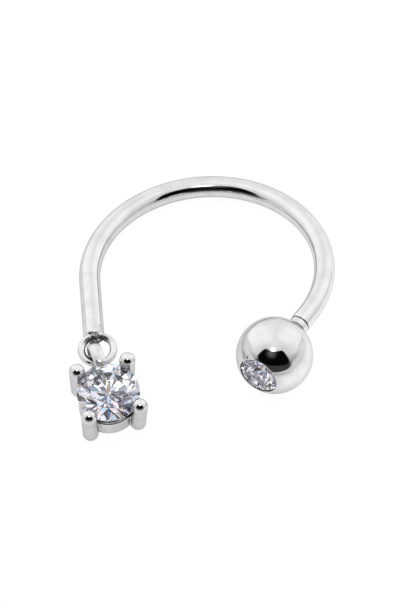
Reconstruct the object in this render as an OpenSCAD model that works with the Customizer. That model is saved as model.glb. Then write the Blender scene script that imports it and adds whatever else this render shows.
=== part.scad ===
// Horseshoe piercing hoop: a curved bar with a small ring soldered to its left end, a stone-set ball on the
// pin at its right end, and a four-prong stone drop whose bail passes through the ring.
// It is modelled as it lies on a flat surface at z = 0, with +X to the right, +Y towards the closed back of
// the hoop and +Z up. The origin is on that surface, below the middle of the whole part. Millimetres.

/* [Bar] */
// Thickness of the bar's wire
wire_d = 1.6; // [1.4:0.1:1.8]
// Inner diameter of the round stretch
inner_d = 16; // [15:0.5:17]
// How far the round stretch runs past the right-hand side, in degrees
arc_past = 35; // [32:1:38]
// Straight leg on the left, from the round stretch to its tip
leg_l = 5.8; // [5.4:0.1:6.2]
// Radius of the rounded edge at the leg's tip
leg_edge = 0.35; // [0.2:0.05:0.5]
// Straight tail on the right, from the round stretch to its shoulder
tail_l = 1.1; // [0.8:0.1:1.5]
// Length of the neck between the shoulder and the ball
neck_l = 0.75; // [0.5:0.05:0.9]
// Diameter of the neck
neck_d = 1.55; // [1.3:0.05:1.55]
// Width of the groove between the shoulder and the neck
groove_w = 0.08; // [0.05:0.01:0.15]
// Depth of that groove below the neck's surface
groove_depth = 0.07; // [0.04:0.01:0.12]
// Width of the relief that is turned between the neck and the ball
relief_w = 0.18; // [0.12:0.02:0.24]
// Depth of that relief below the neck's surface
relief_depth = 0.12; // [0.08:0.01:0.14]
// Diameter of the pin that the ball goes on
pin_d = 1.2; // [1:0.05:1.25]
// Length of the pin inside the ball
pin_l = 2.2; // [1.5:0.1:2.4]

/* [End ring] */
// Outer diameter of the ring soldered to the leg
ring_d = 2.99; // [2.9:0.01:3.1]
// Thickness of the ring's wire
ring_wire_d = 0.58; // [0.5:0.02:0.62]
// How deep the ring is let into the leg's tip
ring_sink = 0.38; // [0.3:0.02:0.46]
// How far the ring sits inwards of the leg's axis
ring_shift = 0.2; // [0:0.05:0.3]
// How far the ring is tilted out of the hoop's plane, front edge down, in degrees
ring_tilt = 11; // [0:1:15]

/* [Ball] */
// Diameter of the ball
ball_d = 5.8; // [5.7:0.05:6]
// From the ball's centre to the flat seat around its bore
seat_h = 2.82; // [2.7:0.01:2.84]
// From the ball's centre to the face cut for its stone
face_h = 2.37; // [2.3:0.01:2.38]
// Diameter of the ball's stone
ball_stone_d = 3.05; // [2.9:0.05:3.1]
// How far the middle of the stone's girdle lies below the cut face
stone_sink = 0.12; // [0.05:0.01:0.2]

/* [Drop setting] */
// Diameter of the stone between the prongs
drop_stone_d = 4.7; // [4.5:0.05:4.9]
// Turn of that stone from the square that its prongs stand in, in degrees
stone_turn = -13; // [-22:1:22]
// Thickness of a prong
prong_d = 1.2; // [1:0.05:1.3]
// Diameter of the rounded head and foot of a prong
prong_end_d = 1.24; // [1.2:0.02:1.4]
// From the drop's axis to the centre of a prong's head
head_r = 2.74; // [2.65:0.01:2.85]
// From the girdle plane up to the centre of a prong's head
head_h = 0.6; // [0.45:0.05:0.8]
// From the drop's axis to the centre of a prong's foot
foot_r = 2.58; // [2.3:0.02:2.66]
// From the girdle plane down to the centre of a prong's foot
foot_h = 2.35; // [2.3:0.05:2.6]
// Outer radius of the cup between the prongs
cup_r = 2.23; // [2.15:0.01:2.3]
// From the girdle plane down to the cup's rim
cup_rim_h = 0.96; // [0.8:0.02:1.1]
// From the girdle plane down to the cup's base
cup_base_h = 2.56; // [2.5:0.02:2.66]
// Thickness of the cup's wall
cup_wall_t = 0.3; // [0.25:0.05:0.35]
// Thickness of the cup's base
cup_base_t = 0.25; // [0.2:0.05:0.3]
// Bevelled edge round the cup's base
cup_edge = 0.15; // [0.1:0.01:0.2]

/* [Bail] */
// Outer diameter of the bail
bail_d = 3; // [2.8:0.05:3.1]
// How deep the bail is let into the cup's wall
bail_sink = 0.18; // [0.1:0.02:0.24]
// From the girdle plane down to the bail's centre
bail_h = 2.15; // [2:0.05:2.3]
// Thickness of the bail's strap
bail_t = 0.45; // [0.35:0.05:0.55]
// Width of the bail's strap
bail_w = 0.95; // [0.8:0.05:1.05]
// How far round the drop, to the right, the bail sits from the middle of its side, in degrees
bail_swing = 1.25; // [0.75:0.25:2.5]
// Turn of the bail about an upright axis through its centre, in degrees
bail_twist = 6.5; // [5:0.5:9]
// How far the bail leans, its top to the left, in degrees
bail_lean = 1.5; // [0:0.5:5]

/* [Stone cut] */
// Width of the table, as a share of the stone's diameter
table_part = 0.57; // [0.53:0.01:0.62]
// Height of the crown, as a share of the diameter
crown_part = 0.145; // [0.12:0.005:0.16]
// Depth of the pavilion, as a share of the diameter
pavilion_part = 0.43; // [0.41:0.005:0.45]
// Thickness of the girdle, as a share of the diameter
girdle_part = 0.025; // [0.02:0.005:0.04]

/* [How it lies] */
// Turn of the hoop about the upright axis, in degrees
hoop_turn = 3.75; // [0:0.25:6]
// How far the hoop's right side is raised, in degrees
side_lift = 2.8; // [2:0.1:3.5]
// Turn of the drop about its own axis, in degrees
drop_turn = 13.9; // [10:0.1:18]
// How far the drop has slid to the left on the end ring
drop_slide = 0.08; // [-0.1:0.02:0.1]
// From the drop's axis to where the end ring's wire passes through the bail
thread_r = 3.45; // [3.35:0.05:3.6]
// Where the hoop's centre lies to the right of the middle of the whole part
hoop_x = 0.3; // [0:0.05:0.6]
// Where the hoop's centre lies behind the middle of the whole part
hoop_y = 2.95; // [2.7:0.05:3.2]

/* [Hidden] */
$fn = 96;
steel = "silver";
clear_stone = "lightcyan";
// Play between pieces that meet: around a stone, around the pin and before the ball's seat
stone_play = 0.03;
pin_play = 0.05;
seat_play = 0.04;
bore_past_pin = 0.15;
// The straight stretches start this far inside the round one and are this much thinner in radius, so that
// their surfaces cross it cleanly
lap = 0.1;
slim = 0.005;
// The eight main facets of a stone, and half the angle between two of them
mains = 8;
half_main = 180 / mains;
// Inner ends of the girdle facets on the crown and the pavilion, as shares of the stone's radius
star_part = 0.765;
lower_part = 0.22;

wire_r = wire_d / 2;
arc_r = (inner_d + wire_d) / 2;
ball_r = ball_d / 2;
arc_end = -arc_past;
tail_turn = arc_end - 90;
tail_start = arc_r * [cos(arc_end), sin(arc_end)];
ball_on_tail = tail_l + neck_l + seat_h + seat_play;
ball_at = tail_start + ball_on_tail * [cos(tail_turn), sin(tail_turn)];

// The hoop rests on its back arc and on the ball. Its plane rises by slope_x for each mm to the right and by
// slope_y for each mm to the back, which falls because the ball is thicker than the wire.
slope_x = sin(side_lift);
lift_gap = ball_r - wire_r - slope_x * ball_at[0];
slope_a = arc_r * arc_r - ball_at[1] * ball_at[1];
slope_b = 2 * lift_gap * ball_at[1];
slope_c = arc_r * arc_r * slope_x * slope_x - lift_gap * lift_gap;
slope_y = 2 * slope_c / (-slope_b + sqrt(slope_b * slope_b - 4 * slope_a * slope_c));
hoop_z = wire_r + arc_r * norm([slope_x, slope_y]);
hoop_roll = -side_lift;
hoop_pitch = asin(slope_y / cos(side_lift));

// The end ring's centre, in the hoop's plane
ring_r = (ring_d - ring_wire_d) / 2;
ring_at = [ring_shift - arc_r, -leg_l + ring_sink - ring_d / 2];

// Prongs stand at the corners of a square, and the bail sits midway between the two at the back
prong_turns = [for (i = [0:3]) drop_turn + 45 + 90 * i];
back_turn = drop_turn + 90;

// The frontmost wire of the end ring, which passes through the bail
thread_at = from_hoop([
    ring_at[0] - drop_slide,
    ring_at[1] - ring_r * cos(ring_tilt),
    -ring_r * sin(ring_tilt)
]);

// The drop leans forwards until its front foot touches the surface: reach * sin(lean) + drop * cos(lean) = rise
front_foot_y = min([for (a = prong_turns) foot_r * sin(a)]);
reach = thread_r * sin(back_turn) - front_foot_y;
drop_back = foot_h - bail_h;
rise = thread_at[2] - prong_end_d / 2;
lean = asin(rise / norm([reach, drop_back])) - atan2(drop_back, reach);
drop_at = thread_at - leaned([thread_r * cos(back_turn), thread_r * sin(back_turn), -bail_h]);

function turned_x(p, a) = [p[0], p[1] * cos(a) - p[2] * sin(a), p[1] * sin(a) + p[2] * cos(a)];
function turned_y(p, a) = [p[0] * cos(a) + p[2] * sin(a), p[1], -p[0] * sin(a) + p[2] * cos(a)];
function turned_z(p, a) = [p[0] * cos(a) - p[1] * sin(a), p[0] * sin(a) + p[1] * cos(a), p[2]];
function leaned(p) = turned_x(p, lean);
function from_hoop(p) =
    [hoop_x, hoop_y, hoop_z] + turned_z(turned_y(turned_x(p, hoop_pitch), hoop_roll), hoop_turn);

// A ring of n points of radius r at height z, the first at angle a
function ring_of(n, r, z, a = 0) =
    [for (i = [0:n - 1]) [r * cos(a + 360 * i / n), r * sin(a + 360 * i / n), z]];

// Places its children from the hoop's own plane, centre at 0, to where the hoop lies
module lying_hoop() {
    translate([hoop_x, hoop_y, hoop_z])
        rotate([hoop_pitch, hoop_roll, hoop_turn])
            children();
}

// Places its children on the tail's axis, z = 0 at that distance from the round stretch and +Z outwards
module on_tail(distance) {
    translate([tail_start[0], tail_start[1], 0])
        rotate([0, 0, tail_turn])
            translate([distance, 0, 0])
                rotate([0, 90, 0])
                    children();
}

// Places its children from the drop's own frame, girdle at z = 0 and table up, to where the drop lies
module lying_drop() {
    translate(drop_at)
        rotate([lean, 0, 0])
            children();
}

// A rod from z = 0 to z = l with a rounded edge at its far end
module rod(r, l, edge) {
    rotate_extrude() {
        square([r - edge, l]);
        square([r, l - edge]);
        translate([r - edge, l - edge])
            circle(edge);
    }
}

// Heights and radii of a stone of diameter d, with the middle of its girdle at z = 0
function girdle_z(d) = girdle_part * d / 2;
function table_r(d) = table_part * d / 2;
function crown_z(d) = girdle_z(d) + crown_part * d;
function culet_z(d) = -girdle_z(d) - pavilion_part * d;
function crown_slope(d) = crown_part * d / (d / 2 - table_r(d));
function pavilion_slope(d) = pavilion_part * 2;
function star_r(d) = star_part * d / 2;
function star_z(d) = crown_z(d) - (star_r(d) * cos(half_main) - table_r(d)) * crown_slope(d);
function lower_r(d) = lower_part * d / 2;
function lower_z(d) = culet_z(d) + lower_r(d) * cos(half_main) * pavilion_slope(d);

// Round brilliant: table, 8 star, 8 kite and 16 upper girdle facets, 16 lower girdle and 8 pavilion facets
module brilliant(d) {
    corners = concat(
        ring_of(mains, table_r(d), crown_z(d)),
        ring_of(mains, star_r(d), star_z(d), half_main),
        ring_of(2 * mains, d / 2, girdle_z(d)),
        ring_of(2 * mains, d / 2, -girdle_z(d)),
        ring_of(mains, lower_r(d), lower_z(d), half_main),
        [[0, 0, culet_z(d)]]
    );
    hull()
        polyhedron(corners, [[for (i = [0:len(corners) - 1]) i]]);
}

// The space that a stone of diameter d takes with its play, open upwards to z = top
module stone_seat(d, top) {
    r = d / 2 + stone_play;
    rotate_extrude()
        polygon([
            [0, culet_z(d) - 2 * stone_play],
            [r, -girdle_z(d) - stone_play],
            [r, girdle_z(d) + stone_play],
            [star_r(d), star_z(d) + 2 * stone_play],
            [star_r(d), top],
            [0, top]
        ]);
}

module end_ring() {
    translate([ring_at[0], ring_at[1], 0])
        rotate([ring_tilt, 0, 0])
            rotate_extrude()
                translate([ring_r, 0])
                    circle(d = ring_wire_d);
}

module tail() {
    on_tail(-lap)
        cylinder(r = wire_r - slim, h = tail_l + lap);
    on_tail(tail_l)
        cylinder(d = neck_d - 2 * groove_depth, h = neck_l - relief_w);
    on_tail(tail_l + groove_w)
        cylinder(d = neck_d, h = neck_l - groove_w - relief_w);
    on_tail(tail_l + neck_l - relief_w)
        cylinder(d = neck_d - 2 * relief_depth, h = relief_w);
    on_tail(tail_l + neck_l)
        cylinder(d = pin_d, h = pin_l);
}

module hoop_bar() {
    color(steel)
        lying_hoop() {
            rotate([0, 0, arc_end])
                rotate_extrude(angle = 180 + arc_past)
                    translate([arc_r, 0])
                        circle(r = wire_r);
            translate([-arc_r, lap, 0])
                rotate([90, 0, 0])
                    rod(wire_r - slim, leg_l + lap, leg_edge);
            tail();
            end_ring();
        }
}

module ball() {
    color(steel)
        lying_hoop()
            on_tail(ball_on_tail)
                difference() {
                    sphere(d = ball_d);
                    translate([0, 0, -ball_d / 2 - seat_h])
                        cylinder(d = ball_d, h = ball_d / 2);
                    translate([0, 0, -ball_d])
                        cylinder(d = pin_d + 2 * pin_play, h = ball_d - seat_h + pin_l + bore_past_pin);
                    translate([0, 0, face_h])
                        cylinder(d = ball_d, h = ball_d);
                    translate([0, 0, face_h - stone_sink])
                        stone_seat(ball_stone_d, ball_d);
                    translate([0, 0, face_h - stone_sink])
                        cylinder(d = ball_stone_d + 2 * stone_play, h = ball_d);
                }
}

module ball_stone() {
    color(clear_stone)
        lying_hoop()
            on_tail(ball_on_tail)
                translate([0, 0, face_h - stone_sink])
                    brilliant(ball_stone_d);
}

module prong() {
    foot = [foot_r, 0, -foot_h];
    head = [head_r, 0, head_h];
    difference() {
        union() {
            translate(foot)
                sphere(d = prong_end_d);
            translate(foot)
                rotate([0, atan2(head_r - foot_r, head_h + foot_h), 0])
                    cylinder(d = prong_d, h = norm(head - foot));
            translate(head)
                sphere(d = prong_end_d);
        }
        stone_seat(drop_stone_d, head_h + prong_end_d);
    }
}

// The cup that joins the prongs below the stone, closed at its base
module cup() {
    wall_r = cup_r - cup_wall_t;
    floor_z = cup_base_t - cup_base_h;
    rotate_extrude()
        polygon([
            [0, -cup_base_h],
            [cup_r - cup_edge, -cup_base_h],
            [cup_r, cup_edge - cup_base_h],
            [cup_r, -cup_rim_h],
            [wall_r, -cup_rim_h],
            [wall_r, floor_z],
            [0, floor_z]
        ]);
}

module bail() {
    rotate([0, 0, back_turn - bail_swing])
        translate([cup_r - bail_sink + bail_d / 2, 0, -bail_h])
            rotate([90 - bail_lean, 0, bail_twist])
                rotate_extrude()
                    translate([(bail_d - bail_t) / 2, 0])
                        strap_section();
}

// Cross-section of the bail's strap, flat with round edges
module strap_section() {
    square([bail_t, bail_w - bail_t], center = true);
    for (side = [-1, 1])
        translate([0, side * (bail_w - bail_t) / 2])
            circle(d = bail_t);
}

module drop_setting() {
    color(steel)
        lying_drop() {
            for (a = prong_turns)
                rotate([0, 0, a])
                    prong();
            cup();
            bail();
        }
}

module drop_stone() {
    color(clear_stone)
        lying_drop()
            rotate([0, 0, drop_turn + stone_turn])
                brilliant(drop_stone_d);
}

hoop_bar();
ball();
ball_stone();
drop_setting();
drop_stone();
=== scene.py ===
from math import cos, pi, radians, sin
from random import Random

import bmesh
import bpy
from mathutils import Euler, Matrix, Vector
from mathutils.geometry import normal


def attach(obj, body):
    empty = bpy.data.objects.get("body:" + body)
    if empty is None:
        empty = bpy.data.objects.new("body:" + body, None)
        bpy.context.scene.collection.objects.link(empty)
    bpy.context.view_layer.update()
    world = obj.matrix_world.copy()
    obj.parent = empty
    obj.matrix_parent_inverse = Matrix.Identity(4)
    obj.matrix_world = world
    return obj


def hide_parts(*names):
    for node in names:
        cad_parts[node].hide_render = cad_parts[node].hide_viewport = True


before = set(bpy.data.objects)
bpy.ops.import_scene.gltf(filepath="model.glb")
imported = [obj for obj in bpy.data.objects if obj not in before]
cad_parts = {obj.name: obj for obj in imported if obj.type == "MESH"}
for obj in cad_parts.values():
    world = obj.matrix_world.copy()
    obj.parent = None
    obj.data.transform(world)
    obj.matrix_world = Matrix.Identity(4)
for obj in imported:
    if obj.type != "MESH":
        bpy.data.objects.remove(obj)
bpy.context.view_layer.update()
print("stage: the packed frame is loaded")

# Sizes are in millimetres until a piece is finished, then scaled to metres
metre = 0.001


def placed(at, turns):
    return Matrix.Translation(at) @ Euler([radians(a) for a in turns], "XYZ").to_matrix().to_4x4()


# Where the hoop's plane and the drop lie, as in the part's source
lying = {
    "hoopAt": (0.3, 2.95, 1.78403),
    "hoopTurns": (-5.78, -2.8, 3.75),
    "dropAt": (-7.02244, -9.39765, 3.37014),
    "dropLean": 11.733,
    "dropTurn": 13.9,  # of the prongs, about the drop's own axis
    "stoneTurn": 0.9,  # of the stone, about the same axis
}
hoopPlace = placed(lying["hoopAt"], lying["hoopTurns"])
dropPlace = placed(lying["dropAt"], (lying["dropLean"], 0, 0))


# Materials

class Surface:
    # A new material, with short ways to add the nodes that the materials have in common
    def __init__(self, name):
        self.material = bpy.data.materials.new(name)
        self.material.use_nodes = True
        self.nodes = self.material.node_tree.nodes
        self.links = self.material.node_tree.links
        self.shader = self.nodes["Principled BSDF"]

    def plug(self, value, socket):
        # A socket takes another node's output or a plain value
        if isinstance(value, bpy.types.NodeSocket):
            self.links.new(value, socket)
        else:
            socket.default_value = value

    def add(self, kind, settings=None, inputs=None):
        node = self.nodes.new("ShaderNode" + kind)
        for name, value in (settings or {}).items():
            setattr(node, name, value)
        for name, value in (inputs or {}).items():
            self.plug(value, node.inputs[name])
        return node

    def math(self, operation, *values, kind="Math"):
        return self.add(kind, {"operation": operation}, dict(enumerate(values))).outputs[0]

    def vectorMath(self, operation, *values):
        return self.math(operation, *values, kind="VectorMath")

    def ramp(self, value, low, high, atLow=0, atHigh=1, kind="LINEAR"):
        inputs = {"Value": value, "From Min": low, "From Max": high, "To Min": atLow, "To Max": atHigh}
        return self.add("MapRange", {"interpolation_type": kind}, inputs).outputs["Result"]

    def mix(self, amount, a, b, blend="MIX"):
        settings = {"data_type": "RGBA", "blend_type": blend}
        return self.add("Mix", settings, {"Factor": amount, "A": a, "B": b}).outputs["Result"]

    def attribute(self, name, output="Fac"):
        return self.add("Attribute", {"attribute_name": name}).outputs[output]

    def position(self):
        return self.add("TexCoord").outputs["Object"]

    def stretched(self, stretch=(1, 1, 1)):
        return self.add("Mapping", inputs={"Vector": self.position(), "Scale": stretch}).outputs["Vector"]

    def noise(self, vector, scale, detail):
        inputs = {"Vector": vector, "Scale": scale, "Detail": detail}
        return self.add("TexNoise", inputs=inputs).outputs["Fac"]

    def shaded(self, inputs):
        for name, value in inputs.items():
            self.plug(value, self.shader.inputs[name])
        return self.material

    def shadedBy(self, output):
        # Another shader takes the place of the usual one
        self.nodes.remove(self.shader)
        self.links.new(output, self.nodes["Material Output"].inputs["Surface"])
        return self.material


steelFinish = {
    "bright": (0.66, 0.66, 0.665, 1),
    "dull": (0.6, 0.6, 0.605, 1),
    "edgeTone": (0.68, 0.68, 0.68, 1),
    "cloudScale": 900,               # soft clouds of the buffing, about a millimetre across
    "cloudToBright": (0.35, 0.6),
    "cloudToRough": (0.3, 0.7, 0.085, 0.035),
    "scratchScale": 9000,            # fine scratches left by the polishing mop
    "scratchStretch": (1, 0.12, 1),
    "scratchDepth": 0.000002,        # metres
    "bumpStrength": 0.25,
    # Painted shade: gaps, and the places marked for it, are painted darker towards this colour
    "gapReach": 0.001,               # metres to the surface that makes a gap
    "gapToPaintedShade": (0.35, 0.65, 1, 0),
    "gapSamples": 6,
    "speckScale": 5500,
    "speckToPaintedShade": (0.5, 0.62, 1, 0.45),
    "paintedShade": (0.06, 0.06, 0.062, 1),
    "lumpHeight": 150,               # of the solder's small lumps, in scratch depths
}


def polishedSteel():
    s = steelFinish
    look = Surface("polishedSteel")
    cloud = look.noise(look.stretched(), s["cloudScale"], detail=3)
    specks = look.noise(look.stretched(), s["speckScale"], detail=2)
    scratches = look.noise(look.stretched(s["scratchStretch"]), s["scratchScale"], detail=4)
    tone = look.mix(look.ramp(cloud, *s["cloudToBright"]), s["dull"], s["bright"])
    # Painted shade: corners and gaps are painted darker where other surfaces come near, and the places
    # marked at the end ring, the neck's relief and inside the bail get painted shade in specks
    nearby = look.add("AmbientOcclusion", {"samples": s["gapSamples"]}, {"Distance": s["gapReach"]})
    paintedGapShade = look.ramp(nearby.outputs["AO"], *s["gapToPaintedShade"])
    paintedMarkedShade = look.math("MULTIPLY", look.attribute("paintedShade"), look.ramp(specks, *s["speckToPaintedShade"]))
    withPaintedShade = look.mix(look.math("MAXIMUM", paintedGapShade, paintedMarkedShade), tone, s["paintedShade"])
    lumps = look.math("MULTIPLY", look.attribute("solder"), specks)
    relief = {
        "Strength": s["bumpStrength"],
        "Distance": s["scratchDepth"],
        "Height": look.math("MULTIPLY_ADD", lumps, s["lumpHeight"], scratches),
    }
    return look.shaded({
        "Base Color": withPaintedShade,
        "Metallic": 1,
        "Specular Tint": s["edgeTone"],
        "Roughness": look.ramp(cloud, *s["cloudToRough"]),
        "Normal": look.add("Bump", inputs=relief).outputs["Normal"],
    })


stoneFinish = {
    "ior": 2.17,
    "surfaceTone": (0.55, 0.55, 0.55, 1),
    # Tints of painted fire for the crown, and of painted fire and painted dark reflections for the foil,
    # picked at random for each facet
    "crownPaintedLight": [(1, 1, 1, 1), (0.97, 0.98, 1, 1), (1, 0.98, 0.98, 1), (0.92, 0.93, 0.96, 1)],
    "foilPaintedLight": [(1, 1, 1, 1), (1, 1, 1, 1), (1, 1, 1, 1), (0.88, 0.89, 0.92, 1), (0.72, 0.73, 0.78, 1),
                  (0.3, 0.31, 0.38, 1), (0.97, 0.87, 0.89, 1), (1, 0.97, 0.94, 1)],
    "foilRoughness": 0.02,
    "cloudScale": 700,      # faint clouds in the stone, about a millimetre across
    "cloudToTone": (0.4, 0.65),
    "cloudTone": (0.94, 0.96, 1, 1),
}


def facetTone(look):
    # Each facet has a tint of its own, painted fire and painted dark reflections, as the spread colours and
    # dark facets of a cut stone look from outside
    s = stoneFinish
    cloud = look.noise(look.stretched(), s["cloudScale"], detail=2)
    tint = look.attribute("paintedFacetLight", "Color")
    return look.mix(look.ramp(cloud, *s["cloudToTone"]), tint, s["cloudTone"], "MULTIPLY")


def clearStone():
    look = Surface("clearStone")
    return look.shaded({
        "Base Color": facetTone(look),
        "Roughness": 0,
        "IOR": stoneFinish["ior"],
        "Specular Tint": stoneFinish["surfaceTone"],
        "Transmission Weight": 1,
    })


def stoneFoil():
    # The bright backing of the facets below the girdle, with painted fire and painted dark reflections in
    # its facets
    look = Surface("stoneFoil")
    return look.shaded({
        "Base Color": facetTone(look),
        "Roughness": stoneFinish["foilRoughness"],
        "Metallic": 1,
    })


slotMaterials = {"polished_steel": polishedSteel(), "clear_stone": clearStone()}
foil = stoneFoil()
print("stage: materials are made")


# Helpers for shaping

def edgesAmong(verts):
    group = set(verts)
    return list({e for v in verts for e in v.link_edges if e.other_vert(v) in group})


def stepLoop(bm, loop, radius, height, axes):
    # Grows a wall from an open loop to a new radius and height about the z axis of axes
    grown = bmesh.ops.extrude_edge_only(bm, edges=loop)["geom"]
    verts = [g for g in grown if isinstance(g, bmesh.types.BMVert)]
    space = axes.inverted()
    now = space @ verts[0].co
    grow = radius / now.xy.length
    bmesh.ops.scale(bm, vec=(grow, grow, 1), space=space, verts=verts)
    bmesh.ops.translate(bm, vec=(0, 0, height - now.z), space=space, verts=verts)
    return edgesAmong(verts)


def closeLoop(bm, loop):
    bmesh.ops.edgeloop_fill(bm, edges=loop)


def growWall(bm, loop, profile, axes=Matrix()):
    # A wall through pairs of radius and height, closed at its end
    for radius, height in profile:
        loop = stepLoop(bm, loop, radius, height, axes)
    closeLoop(bm, loop)


def turnedSolid(profile, segments):
    # A closed solid turned about the z axis, from pairs of radius and height
    bm = bmesh.new()
    radius, height = profile[0]
    ring = bmesh.ops.create_circle(bm, segments=segments, radius=radius)["verts"]
    bmesh.ops.translate(bm, vec=(0, 0, height), verts=ring)
    loop = bm.edges[:]
    closeLoop(bm, loop)
    growWall(bm, loop, profile[1:])
    return bm


def quarters(steps):
    return [pi / 2 * k / steps for k in range(1, steps + 1)]


def roundOver(radius, height, edge, steps=6):
    # Pairs for a quarter-round from the wall at this radius and height, inwards by edge
    return [(radius - edge + edge * cos(a), height + edge * sin(a)) for a in quarters(steps)]


def roundUnder(radius, height, edge, steps=6):
    # Pairs for a quarter-round from a floor at this height, outwards to the radius
    return [(radius - edge + edge * sin(a), height + edge * (1 - cos(a))) for a in quarters(steps)]


def uprightCircle(bm, segments, wire, radius, width=1):
    # The outline of a wire that is width times as wide as it is thick, at a radius from the z axis
    outline = bmesh.ops.create_circle(bm, segments=segments, radius=wire)["verts"]
    bmesh.ops.scale(bm, vec=(1, width, 1), verts=outline)
    bmesh.ops.rotate(bm, cent=(0, 0, 0), matrix=Matrix.Rotation(pi / 2, 3, "X"), verts=outline)
    bmesh.ops.translate(bm, vec=(radius, 0, 0), verts=outline)


def wireRing(wire, radius, place, width=1):
    bm = bmesh.new()
    uprightCircle(bm, segments=32, wire=wire, radius=radius, width=width)
    bmesh.ops.spin(bm, geom=bm.verts[:] + bm.edges[:], cent=(0, 0, 0), axis=(0, 0, 1), angle=2 * pi,
                   steps=96, use_merge=True)
    bmesh.ops.transform(bm, matrix=place, verts=bm.verts)
    return bm


def openLoops(bm, nearTo, within):
    # The open edges of the mesh near a point
    return [e for e in bm.edges if e.is_boundary and all((v.co - nearTo).length < within for v in e.verts)]


def meshOf(bm, name="work"):
    mesh = bpy.data.meshes.new(name)
    bm.to_mesh(mesh)
    bm.free()
    return mesh


def modified(mesh, kind, settings, rounds=0):
    # The mesh after one modifier, and after rounds of smoothing if there are any
    work = bpy.data.objects.new("work", mesh)
    bpy.context.scene.collection.objects.link(work)
    change = work.modifiers.new("change", kind)
    for name, value in settings.items():
        setattr(change, name, value)
    if rounds:
        soften = work.modifiers.new("soften", "SMOOTH")
        soften.iterations = rounds
    view = bpy.context.evaluated_depsgraph_get()
    made = bpy.data.meshes.new_from_object(work.evaluated_get(view))
    bpy.data.objects.remove(work)
    return made


def fused(mesh, voxel, rounds):
    # One skin over overlapping shells, with its creases softened as solder and casting leave them
    return modified(mesh, "REMESH", {"mode": "VOXEL", "voxel_size": voxel}, rounds)


def cutBy(mesh, cutter):
    tool = bpy.data.objects.new("tool", cutter)
    bpy.context.scene.collection.objects.link(tool)
    made = modified(mesh, "BOOLEAN", {"operation": "DIFFERENCE", "solver": "EXACT", "object": tool})
    bpy.data.objects.remove(tool)
    return made


def share(value, none, full):
    # How far a value has gone from none to full, as 0 to 1
    return min(1, max(0, (value - none) / (full - none)))


def tintFacets(mesh, seed):
    # Facets that face down get the foil, and the upright girdle doesn't. Every facet gets a painted tint,
    # of fire or of a dark reflection
    nearlyUpright = -0.1
    pick = Random(seed)
    mesh.materials.append(foil)
    tints = mesh.attributes.new("paintedFacetLight", "FLOAT_COLOR", "FACE").data
    for facet, tint in zip(mesh.polygons, tints):
        below = facet.normal.z < nearlyUpright
        facet.material_index = int(below)
        tint.color = pick.choice(stoneFinish["foilPaintedLight" if below else "crownPaintedLight"])


def markPoints(mesh, name, markAt):
    # Keeps a value at each point for the material, as markAt gives it
    marks = mesh.attributes.new(name, "FLOAT", "POINT").data
    for vertex, mark in zip(mesh.vertices, marks):
        mark.value = markAt(vertex.co)


def finishPiece(bm, name, place, node, body, slot, sharp=None, seed=0, marks=None):
    # Metal has a sharp angle, up to which it is smooth, and a stone has flat tinted facets
    touching = 0.0002
    bmesh.ops.remove_doubles(bm, verts=bm.verts, dist=touching)
    bmesh.ops.recalc_face_normals(bm, faces=bm.faces)
    for face in bm.faces:
        face.smooth = sharp is not None
    mesh = meshOf(bm, name)
    mesh.materials.append(slotMaterials[slot])
    if sharp is None:
        tintFacets(mesh, seed)
    else:
        mesh.set_sharp_from_angle(angle=radians(sharp))
    for attribute, markAt in (marks or {}).items():
        markPoints(mesh, attribute, markAt)
    mesh.transform(Matrix.Scale(metre, 4) @ place)
    piece = bpy.data.objects.new(name, mesh)
    bpy.context.scene.collection.objects.link(piece)
    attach(piece, body)
    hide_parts(node)
    print(f"stage: {name} has {len(mesh.polygons)} faces")


# Hoop bar with its end ring

barSizes = {
    "wire": 0.8,            # radius of the bar's wire
    "arc": 8.8,             # radius of the round stretch's centre line
    "arcEnd": -35,          # where the round stretch ends on the right, in degrees
    "legLength": 5.8,
    "legEdge": 0.35,
    "tail": 1.1,
    "shoulderEdge": 0.05,
    "neckLength": 0.75,
    "neck": 0.775,
    "neckEdge": 0.02,
    "groove": 0.705,
    "grooveWidth": 0.08,
    "relief": 0.655,
    "reliefWidth": 0.18,
    "reliefReach": 0.01,    # how far round the relief its painted dark line reaches
    "pin": 0.6,
    "pinLength": 2.2,
    "pinEdge": 0.08,
    "threadDepth": 0.07,
    "threadPitch": 0.25,
    "threadHalf": 0.11,     # half the width of the thread's ridge at its foot
    "threadFoot": 0.02,     # how deep the ridge stands in the pin
    "threadStart": 0.22,    # from the neck's end
    "threadSpare": 0.4,     # length of the pin without thread
    "threadSteps": 40,      # for each turn
    "around": 64,
    "along": 172,
}
ringSizes = {
    "radius": 1.205,        # of the wire's centre line
    "wire": 0.29,
    "at": (-8.6, -6.915, 0),
    "tilt": 11,
    "overlap": 1.5,         # how much of the leg is fused with the ring
    "lap": 0.1,             # how far the rest of the leg reaches into that part
    "voxel": 0.034,
    "rounds": 8,
    "joint": (-8.7, -5.75, 0.3),
    "solderReach": (1.0, 0.6),      # from the joint's middle to where the lumps end and are full
    "paintedShadeReach": (1.6, 1),         # from the ring's middle, outwards and up
    "paintedShadeAcross": (0.04, -0.06),   # from the wire's centre line to where the painted shade starts and is full
    "paintedShadeRound": (0.3, 0.7),       # the same round the ring, as the sine of the direction to the leg
}
# The z axes run along the straight leg and tail, from the ends of the round stretch
legAxes = Matrix.Translation((-barSizes["arc"], 0, 0)) @ Matrix.Rotation(pi / 2, 4, "X")
tailAxes = (Matrix.Rotation(radians(barSizes["arcEnd"]), 4, "Z")
            @ Matrix.Translation((barSizes["arc"], 0, 0)) @ Matrix.Rotation(pi / 2, 4, "X"))
neckEnd = barSizes["tail"] + barSizes["neckLength"]
threadRoot = barSizes["pin"] - barSizes["threadDepth"]


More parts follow.
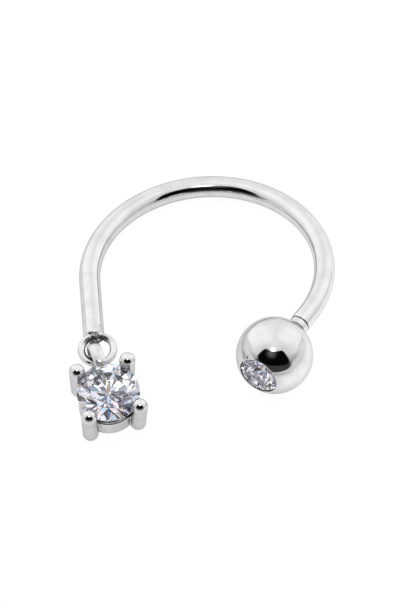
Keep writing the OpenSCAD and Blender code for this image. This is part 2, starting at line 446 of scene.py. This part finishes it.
def bentWire():
    s = barSizes
    bm = bmesh.new()
    uprightCircle(bm, s["around"], s["wire"], s["arc"])
    toEnd = Matrix.Rotation(radians(s["arcEnd"]), 3, "Z")
    bmesh.ops.rotate(bm, cent=(0, 0, 0), matrix=toEnd, verts=bm.verts)
    bmesh.ops.spin(bm, geom=bm.verts[:] + bm.edges[:], cent=(0, 0, 0), axis=(0, 0, 1),
                   angle=radians(180 - s["arcEnd"]), steps=s["along"])
    return bm


def tailProfile():
    # From the round stretch over the shoulder, the neck and the relief to the pin's end
    s = barSizes
    edge = s["neckEdge"]
    shoulder = s["tail"] - s["shoulderEdge"]
    neckStart = s["tail"] + s["grooveWidth"]
    reliefStart = neckEnd - s["reliefWidth"]
    pinEnd = neckEnd + s["pinLength"]
    return [
        (s["wire"], shoulder),
        *roundOver(s["wire"], shoulder, s["shoulderEdge"], steps=4),
        (s["groove"], s["tail"]),
        (s["groove"], neckStart),
        (s["neck"] - edge, neckStart),
        (s["neck"], neckStart + edge),
        (s["neck"], reliefStart - edge),
        (s["neck"] - edge, reliefStart),
        (s["relief"], reliefStart),
        (s["relief"], neckEnd),
        (threadRoot, neckEnd),
        (threadRoot, pinEnd - s["pinEdge"]),
        (threadRoot - s["pinEdge"], pinEnd),
    ]


def pinThread():
    # One ridge wound round the pin
    s = barSizes
    bm = bmesh.new()
    foot = threadRoot - s["threadFoot"]
    corners = [(foot, -s["threadHalf"]), (s["pin"], 0), (foot, s["threadHalf"])]
    ridge = [bm.verts.new((radius, 0, neckEnd + s["threadStart"] + height)) for radius, height in corners]
    bm.faces.new(ridge)
    turns = int((s["pinLength"] - s["threadSpare"]) / s["threadPitch"])
    bmesh.ops.spin(bm, geom=bm.verts[:] + bm.edges[:] + bm.faces[:], cent=(0, 0, 0), axis=(0, 0, 1),
                   dvec=(0, 0, s["threadPitch"] / s["threadSteps"]), angle=2 * pi * turns,
                   steps=s["threadSteps"] * turns)
    bmesh.ops.transform(bm, matrix=tailAxes, verts=bm.verts)
    return bm


def ringedTip(ringPlace):
    # The leg's rounded tip with the end ring soldered to it
    s = barSizes
    r = ringSizes
    wallEnd = s["legLength"] - s["legEdge"]
    profile = [(s["wire"], s["legLength"] - r["overlap"]), (s["wire"], wallEnd)]
    bm = turnedSolid(profile + roundOver(s["wire"], wallEnd, s["legEdge"]), s["around"])
    bmesh.ops.transform(bm, matrix=legAxes, verts=bm.verts)
    bm.from_mesh(meshOf(wireRing(r["wire"], r["radius"], ringPlace)))
    bmesh.ops.recalc_face_normals(bm, faces=bm.faces)
    return fused(meshOf(bm), r["voxel"], r["rounds"])


def makeHoopBar():
    s = barSizes
    r = ringSizes
    bm = bentWire()
    leg = openLoops(bm, legAxes.translation, within=1)
    growWall(bm, leg, [(s["wire"], s["legLength"] - r["overlap"] + r["lap"])], legAxes)
    tail = openLoops(bm, tailAxes.translation, within=1)
    growWall(bm, tail, tailProfile(), tailAxes)
    bm.from_mesh(meshOf(pinThread()))
    ringPlace = placed(r["at"], (r["tilt"], 0, 0))
    bm.from_mesh(ringedTip(ringPlace))
    ringSpace = ringPlace.inverted()
    tailSpace = tailAxes.inverted()

    # Painted shade on the end ring's inner top, towards the leg, and a painted dark line round the neck's
    # relief
    def paintedShadeAt(co):
        onRing = ringSpace @ co
        away = onRing.xy.length
        outwards, upwards = r["paintedShadeReach"]
        if away < outwards and abs(onRing.z) < upwards:
            across = share(away - r["radius"], *r["paintedShadeAcross"])
            return across * share(onRing.y / away, *r["paintedShadeRound"])
        onTail = tailSpace @ co
        reach = s["reliefReach"]
        beforeEnd = neckEnd - onTail.z
        thin = onTail.xy.length < s["relief"] + reach
        return float(thin and -reach < beforeEnd < s["reliefWidth"] + reach)

    def solderAt(co):
        return share((co - Vector(r["joint"])).length, *r["solderReach"])

    finishPiece(bm, "hoopBar", hoopPlace, "hoop_bar", "hoop", "polished_steel", sharp=40,
                marks={"paintedShade": paintedShadeAt, "solder": solderAt})


# Stones

cutShares = {
    "table": 0.57,          # of the stone's diameter
    "crown": 0.145,
    "pavilion": 0.43,
    "girdle": 0.025,
    "star": 0.765,          # of the radius
    "lower": 0.22,
}
# A stone's eight main facets, above and below, are this many degrees apart
mainAngle = 45


def ringPoint(radius, degrees, height):
    return Vector((radius * cos(radians(degrees)), radius * sin(radians(degrees)), height))


def facetPoints(diameter):
    # Three points on each facet, in the order of cutting, and the heights of the table and the culet
    s = cutShares
    half = diameter / 2
    turn = mainAngle / 2
    girdle = s["girdle"] * half
    table = s["table"] * half
    crownTop = girdle + s["crown"] * diameter
    culet = -girdle - s["pavilion"] * diameter
    crownSlope = s["crown"] * diameter / (half - table)
    star = s["star"] * half
    starTop = crownTop - (star * cos(radians(turn)) - table) * crownSlope
    lower = s["lower"] * half
    lowerTop = culet + lower * cos(radians(turn)) * s["pavilion"] * 2

    def onTable(a):
        return ringPoint(table, a, crownTop)

    def onStar(a):
        return ringPoint(star, a, starTop)

    def onLower(a):
        return ringPoint(lower, a, lowerTop)

    facets = []
    for a in range(0, 360, mainAngle):
        facets.append([onTable(a), onStar(a + turn), onStar(a - turn)])
        facets.append([Vector((0, 0, culet)), onLower(a + turn), onLower(a - turn)])
    for a in range(0, 360, mainAngle):
        facets.append([onTable(a), onTable(a + mainAngle), onStar(a + turn)])
        for b in (a, a + turn):
            for height, inner in ((girdle, onStar), (-girdle, onLower)):
                rim = [ringPoint(half, b, height), ringPoint(half, b + turn, height)]
                facets.append([*rim, inner(a + turn)])
    return facets, crownTop, culet


def cutStone(diameter):
    # A round blank ground flat facet by facet, as a cutter does it
    facets, crownTop, culet = facetPoints(diameter)
    bm = bmesh.new()
    bmesh.ops.create_cone(bm, cap_ends=True, segments=96, radius1=diameter / 2, radius2=diameter / 2,
                          depth=crownTop - culet, matrix=Matrix.Translation((0, 0, (crownTop + culet) / 2)))
    for points in facets:
        out = normal(points)
        if out.dot(points[0]) < 0:
            out = -out
        cut = bmesh.ops.bisect_plane(bm, geom=bm.verts[:] + bm.edges[:] + bm.faces[:], dist=1e-4,
                                     plane_co=points[0], plane_no=out, clear_outer=True)["geom_cut"]
        rim = [e for e in cut if isinstance(e, bmesh.types.BMEdge) and e.is_boundary]
        if rim:
            bmesh.ops.holes_fill(bm, edges=rim, sides=0)
    return bm


# Ball

ballSizes = {
    "radius": 2.9,
    "seat": 2.82,           # from the centre to the flat seat round the bore
    "seatPlay": 0.04,       # between the neck's end and the seat
    "face": 2.37,           # from the centre to the face cut for the stone
    "bore": 0.65,
    "boreTop": -0.47,
    "pocket": 1.555,
    "pocketStep": 0.07,     # from the girdle down to where the pocket narrows
    "pocketTip": 0.05,
    "stoneRadius": 1.525,
    "stoneSink": 0.12,
    "rimEdge": 0.03,
    "rimMiddle": 0.3,       # where the rim's edge bends, as a share of it
    "tintSeed": 16,
}
ballDown = neckEnd + ballSizes["seat"] + ballSizes["seatPlay"]
ballAxes = (Matrix.Rotation(radians(barSizes["arcEnd"]), 4, "Z")
            @ Matrix.Translation((barSizes["arc"], -ballDown, 0)) @ Matrix.Rotation(pi / 2, 4, "X"))


def pocketProfile():
    s = ballSizes
    face, pocket, edge = s["face"], s["pocket"], s["rimEdge"]
    bend = edge * s["rimMiddle"]
    narrowsAt = face - s["stoneSink"] - s["pocketStep"]
    depth = (pocket - s["pocketTip"]) * cutShares["pavilion"] * 2
    return [
        (pocket + edge, face),
        (pocket + bend, face - bend),
        (pocket, face - edge),
        (pocket, narrowsAt),
        (s["pocketTip"], narrowsAt - depth),
    ]


def makeBall():
    s = ballSizes
    bm = bmesh.new()
    bmesh.ops.create_uvsphere(bm, u_segments=128, v_segments=96, radius=s["radius"])
    for height, side in ((s["face"], 1), (-s["seat"], -1)):
        bmesh.ops.bisect_plane(bm, geom=bm.verts[:] + bm.edges[:] + bm.faces[:], dist=1e-5,
                               plane_co=(0, 0, height), plane_no=(0, 0, side), clear_outer=True)
    face = openLoops(bm, Vector((0, 0, s["face"])), within=2)
    growWall(bm, face, pocketProfile())
    seat = openLoops(bm, Vector((0, 0, -s["seat"])), within=1)
    growWall(bm, seat, [(s["bore"], -s["seat"]), (s["bore"], s["boreTop"])])
    finishPiece(bm, "screwBall", hoopPlace @ ballAxes, "ball", "ball_end", "polished_steel", sharp=25)


def makeBallStone():
    s = ballSizes
    sunk = Matrix.Translation((0, 0, s["face"] - s["stoneSink"]))
    finishPiece(cutStone(2 * s["stoneRadius"]), "ballStone", hoopPlace @ ballAxes @ sunk, "ball_stone",
                "ball_end", "clear_stone", seed=s["tintSeed"])


# Drop

dropSizes = {
    "stone": 4.7,
    "tintSeed": 13,
    "play": 0.03,                 # round the stone in its prongs
    "prong": 0.61,
    "headAt": (2.74, 0, 0.6),
    "footAt": (2.58, 0, -2.35),
    "notchTip": 0.1,
    "notchTop": 0.52,             # height at which the notch is as narrow as the star
    "notchEnd": 3,
    "cup": 2.23,
    "cupWall": 0.3,
    "cupBase": 0.25,
    "cupRim": -0.96,
    "cupFloor": -2.56,
    "rimEdge": 0.12,
    "baseEdge": 0.18,
    "bail": 1.5,                  # outer radius of the bail
    "bailAt": (3.55, 0, -2.15),
    "strapWidth": 0.95,
    "strapThick": 0.45,
    "bailSwing": 1.25,
    "bailTwist": 6.5,
    "bailLean": 1.5,
    "paintedShadeInwards": (0, -0.1),    # from the strap's middle to where the painted shade starts and is full
    "paintedShadeSideways": (0.6, 0.5),  # the same to the strap's sides
    "solderFrom": (-0.3, -0.6),   # where the bail's solder begins and is full, towards the cup
    "solderPast": 0.1,            # how far it reaches past the bail's outer radius
    "voxel": 0.043,
    "rounds": 4,
}


def notchCutter():
    # The room for the stone in the prongs, kept open above it
    s = dropSizes
    c = cutShares
    half = s["stone"] / 2 + s["play"]
    girdle = c["girdle"] * s["stone"] / 2 + s["play"]
    star = c["star"] * s["stone"] / 2
    depth = (half - s["notchTip"]) * c["pavilion"] * 2
    bm = turnedSolid([
        (s["notchTip"], -girdle - depth),
        (half, -girdle),
        (half, girdle),
        (star, s["notchTop"]),
        (star, s["notchEnd"]),
    ], segments=96)
    bmesh.ops.recalc_face_normals(bm, faces=bm.faces)
    return bm


def prong():
    s = dropSizes
    foot, head = Vector(s["footAt"]), Vector(s["headAt"])
    bm = bmesh.new()
    bmesh.ops.create_uvsphere(bm, u_segments=40, v_segments=24, radius=s["prong"])
    equator = 0.001
    upper = [v for v in bm.verts if v.co.z > equator]
    bmesh.ops.translate(bm, vec=(0, 0, (head - foot).length), verts=upper)
    stand = (head - foot).to_track_quat("Z", "Y").to_matrix().to_4x4()
    bmesh.ops.transform(bm, matrix=Matrix.Translation(foot) @ stand, verts=bm.verts)
    return cutBy(meshOf(bm), meshOf(notchCutter()))


def cupProfile():
    s = dropSizes
    wallEnd = s["cupRim"] - s["rimEdge"]
    inner = s["cup"] - s["cupWall"]
    return [
        (s["cup"] - s["baseEdge"], s["cupFloor"]),
        *roundUnder(s["cup"], s["cupFloor"], s["baseEdge"]),
        (s["cup"], wallEnd),
        *roundOver(s["cup"], wallEnd, s["rimEdge"]),
        (inner, s["cupRim"]),
        (inner, s["cupFloor"] + s["cupBase"]),
    ]


def makeDropSetting():
    s = dropSizes
    bm = bmesh.new()
    bm.from_mesh(prong())
    # Four prongs stand round the stone, and the bail is soldered on between two of them
    firstProng = Matrix.Rotation(radians(lying["dropTurn"] + 45), 3, "Z")
    bmesh.ops.rotate(bm, cent=(0, 0, 0), matrix=firstProng, verts=bm.verts)
    bmesh.ops.spin(bm, geom=bm.verts[:] + bm.edges[:] + bm.faces[:], cent=(0, 0, 0), axis=(0, 0, 1),
                   angle=radians(270), steps=3, use_duplicate=True)
    bm.from_mesh(meshOf(turnedSolid(cupProfile(), segments=128)))
    bailPlace = (Matrix.Rotation(radians(lying["dropTurn"] + 90 - s["bailSwing"]), 4, "Z")
                 @ placed(s["bailAt"], (90 - s["bailLean"], 0, s["bailTwist"])))
    half = s["strapThick"] / 2
    middle = s["bail"] - half
    bm.from_mesh(meshOf(wireRing(half, middle, bailPlace, s["strapWidth"] / s["strapThick"])))
    bmesh.ops.recalc_face_normals(bm, faces=bm.faces)
    whole = bmesh.new()
    whole.from_mesh(fused(meshOf(bm), s["voxel"], s["rounds"]))
    bailSpace = bailPlace.inverted()

    # Painted shade on the inner side of the bail's strap
    def paintedShadeAt(co):
        onBail = bailSpace @ co
        inwards = share(onBail.xy.length - middle, *s["paintedShadeInwards"])
        return inwards * share(abs(onBail.z), *s["paintedShadeSideways"])

    def solderAt(co):
        onBail = bailSpace @ co
        past = onBail.xy.length - s["bail"]
        return share(onBail.x, *s["solderFrom"]) * share(past, s["solderPast"], 0)

    finishPiece(whole, "dropSetting", dropPlace, "drop_setting", "hoop", "polished_steel", sharp=60,
                marks={"paintedShade": paintedShadeAt, "solder": solderAt})


def makeDropStone():
    turn = Matrix.Rotation(radians(lying["stoneTurn"]), 4, "Z")
    finishPiece(cutStone(dropSizes["stone"]), "dropStone", dropPlace @ turn, "drop_stone", "hoop",
                "clear_stone", seed=dropSizes["tintSeed"])


makeHoopBar()
makeBall()
makeBallStone()
makeDropSetting()
makeDropStone()


# Studio with its floor, light and camera

def stageObject(bm, name, material):
    made = bpy.data.objects.new(name, meshOf(bm, name))
    bpy.context.scene.collection.objects.link(made)
    made.data.materials.append(material)
    return made


floorPlan = {
    "size": 3,                          # metres
    "shown": 0.96,                      # even glow of the floor as the camera sees it
    "shownPaint": 0.08,
    "glow": 0.78,                       # and as the metal and the stones mirror it
    "glowPaint": 0.35,
    "shade": (-0.05, -0.012, 0.72, 1),  # front and back of the part that gets darker, and its tones
    "side": (0.004, 0.009, 1, 1.4),     # left and right of the part that gets lighter, and its tones
    "ior": 1.35,
    "gloss": (0.8, 0.8, 0.8, 1),
    "glossRough": 0.05,
}


def paleFloor():
    s = floorPlan
    look = Surface("paleFloor")

    def glowing(strength, colour=(1, 1, 1, 1)):
        return look.add("Emission", inputs={"Strength": strength, "Color": colour}).outputs[0]

    def painted(tone):
        return look.add("BsdfDiffuse", inputs={"Color": (tone, tone, tone, 1)}).outputs[0]

    def together(a, b):
        return look.add("AddShader", inputs={0: a, 1: b}).outputs[0]

    def either(amount, a, b):
        return look.add("MixShader", inputs={0: amount, 1: a, 2: b}).outputs[0]

    # The metal mirrors a glowing floor with painted shade towards the tent's front and painted light
    # towards the right
    where = look.add("SeparateXYZ", inputs={"Vector": look.position()}).outputs
    level = look.math("MULTIPLY", look.ramp(where["Y"], *s["shade"]), look.ramp(where["X"], *s["side"]))
    tone = look.add("CombineColor", inputs={0: level, 1: level, 2: level}).outputs["Color"]
    gloss = look.add("BsdfGlossy", inputs={"Color": s["gloss"], "Roughness": s["glossRough"]}).outputs[0]
    sheen = look.add("Fresnel", inputs={"IOR": s["ior"]}).outputs[0]
    mirrored = either(sheen, together(glowing(s["glow"], tone), painted(s["glowPaint"])), gloss)
    shown = together(glowing(s["shown"]), painted(s["shownPaint"]))
    fromCamera = look.add("LightPath").outputs["Is Camera Ray"]
    return look.shadedBy(either(fromCamera, mirrored, shown))


def makeFloor():
    bm = bmesh.new()
    bmesh.ops.create_grid(bm, x_segments=1, y_segments=1, size=floorPlan["size"] / 2)
    floor = stageObject(bm, "floor", paleFloor())


# The tent is laid out as the ball mirrors it, in degrees across from the front and up. A change holds
# the angles at which it starts and ends, and the value at each. A patch holds its middle, half its size,
# how square it is and how soft its edge is.
tentPlan = {
    "radius": 0.12,                     # metres
    "seenFrom": (0.0053, -0.0056, 0.0029),
    "sideLight": (60, 125, 0.96, 1.38),
    "backShade": (140, 180, 0, 0.2),
    "ceilingShare": (60, 88, 0, 1),
    "ceilingLight": 1.2,
    "foot": (100, 145, 18, -8),         # where the walls start
    "footShare": (-2, 4, 0, 1),
    "lowLight": (70, 110, 0.95, 1.08),
    "creaseTop": (50, 90, 27, 7),
    "creaseBottom": (-7, 0, 1, 0),
    "creaseDepth": (55, 105, 0.42, 0.12),
    "shelf": ((-6.5, 15), (56.5, 14), 3, 0.13),         # the grey strip below the opening
    "shelfTone": 0.06,
    "opening": ((-7.5, 42.5), (57, 21), 5, 0.05),       # the dark opening at the camera's side
    "openingTone": 0.003,
    "openingSag": (10, 45, 0, 6),       # how far its right end sinks
    "openingSagUp": (24, 50, 1, 0),
    "lamp": ((-15, 69), (18, 5), 2, 0.35),
    "lampGlow": 6,
    "haze": ((-18, 58), (20, 11), 2, 0.8),              # the lamp's soft glow on the opening's upper edge
    "hazeGlow": 0.14,
    "stoneAt": (2.7, 3.4, 5.5),         # the patches of light that a stone shows
    "stoneShift": (0.004, 0.002, 0.003),
    "stoneScale": 8,
    "stonePatch": (0.38, 0.62, 0.08, 1.25),
    "stoneTone": (1.02, 1.01, 1.03),
}


def tentCloth():
    s = tentPlan
    look = Surface("tentCloth")
    step = look.math

    def rise(value, low, high, atLow=0, atHigh=1):
        return look.ramp(value, low, high, atLow, atHigh, "SMOOTHSTEP")

    def patch(across, up, middle, half, power, soft):
        # A rounded patch of the tent: 1 inside, 0 outside
        reach = [step("POWER", step("ABSOLUTE", step("DIVIDE", step("SUBTRACT", value, at), size)), power)
                 for value, at, size in ((across, middle[0], half[0]), (up, middle[1], half[1]))]
        away = step("POWER", step("ADD", *reach), 1 / power)
        return rise(away, 1 - soft, 1 + soft, 1, 0)

    def blended(amount, a, b):
        return step("ADD", step("MULTIPLY", step("SUBTRACT", 1, amount), a), step("MULTIPLY", amount, b))

    heading = look.vectorMath("NORMALIZE", look.vectorMath("SUBTRACT", look.position(), s["seenFrom"]))
    x, y, z = look.add("SeparateXYZ", inputs={"Vector": heading}).outputs
    up = step("MULTIPLY", step("ARCSINE", z), 180 / pi)
    across = step("MULTIPLY", step("ARCTAN2", x, step("MULTIPLY", y, -1)), 180 / pi)
    turned = step("ABSOLUTE", across)

    # The tent's walls and its ceiling, brightest at the sides
    sides = step("SUBTRACT", rise(turned, *s["sideLight"]), rise(turned, *s["backShade"]))
    walls = blended(rise(up, *s["ceilingShare"]), sides, s["ceilingLight"])
    fromFoot = step("SUBTRACT", up, rise(turned, *s["foot"]))
    light = blended(rise(fromFoot, *s["footShare"]), rise(turned, *s["lowLight"]), walls)
    # They darken towards the crease that they have with the floor, most beside the opening
    above = rise(fromFoot, 0, rise(turned, *s["creaseTop"]))
    crease = step("SUBTRACT", step("SUBTRACT", 1, above), rise(fromFoot, *s["creaseBottom"]))
    shade = step("MULTIPLY", crease, rise(turned, *s["creaseDepth"]))
    light = step("MULTIPLY", light, step("SUBTRACT", 1, shade))

    light = blended(patch(across, up, *s["shelf"]), light, s["shelfTone"])
    sag = step("MULTIPLY", rise(across, *s["openingSag"]), rise(up, *s["openingSagUp"]))
    light = blended(patch(across, step("ADD", up, sag), *s["opening"]), light, s["openingTone"])
    haze = step("MULTIPLY", s["hazeGlow"], patch(across, up, *s["haze"]))
    lamp = step("MULTIPLY", s["lampGlow"], patch(across, up, *s["lamp"]))
    light = step("ADD", step("ADD", light, haze), lamp)

    # A cut stone breaks the tent's light and shade into small coloured patches
    inStone = step("MINIMUM", look.add("LightPath").outputs["Transmission Depth"], 1)
    spread = {}
    for k, tone in enumerate(s["stoneTone"]):
        at = [start + k * part for start, part in zip(s["stoneAt"], s["stoneShift"])]
        cloud = look.noise(look.vectorMath("ADD", heading, at), s["stoneScale"], detail=2)
        lit = step("ADD", rise(cloud, *s["stonePatch"]), lamp)
        spread[k] = blended(inStone, light, step("MULTIPLY", lit, tone))
    colour = look.add("CombineColor", inputs=spread).outputs["Color"]
    return look.shadedBy(look.add("Emission", inputs={"Color": colour}).outputs[0])


def makeTent():
    # A small round tent, which the camera looks through
    bm = bmesh.new()
    bmesh.ops.create_uvsphere(bm, u_segments=48, v_segments=24, radius=tentPlan["radius"])
    tent = stageObject(bm, "tent", tentCloth())
    tent.visible_camera = False


def makeSky():
    world = bpy.data.worlds.new("studio")
    bpy.context.scene.world = world
    world.use_nodes = True
    background = world.node_tree.nodes["Background"]
    background.inputs["Color"].default_value = (1, 1, 1, 1)
    background.inputs["Strength"].default_value = 1


cameraPlan = {
    "looksAt": (-0.188, 1.28, 0.526),
    "elevation": 53,
    "distance": 1.0,        # metres
    "tall": 44.98,          # of what the picture shows, from its top to its bottom edge
    "sensor": 36,           # the camera's own in Blender
    "clip": (0.01, 20),     # metres
}


def makeCamera():
    s = cameraPlan
    camera = bpy.data.objects.new("camera", bpy.data.cameras.new("camera"))
    bpy.context.scene.collection.objects.link(camera)
    elevation = radians(s["elevation"])
    away = Vector((0, -cos(elevation), sin(elevation)))
    camera.location = Vector(s["looksAt"]) * metre + away * s["distance"]
    camera.rotation_euler = (pi / 2 - elevation, 0, 0)
    camera.data.lens = s["sensor"] * s["distance"] / (s["tall"] * metre)
    camera.data.clip_start, camera.data.clip_end = s["clip"]
    bpy.context.scene.camera = camera


makeFloor()
makeTent()
makeSky()
makeCamera()
scene = bpy.context.scene
scene.view_settings.view_transform = "Standard"
scene.view_settings.look = "None"
scene.cycles.max_bounces = 32
scene.cycles.transmission_bounces = 32
scene.cycles.glossy_bounces = 12
print("stage: studio and camera are set")
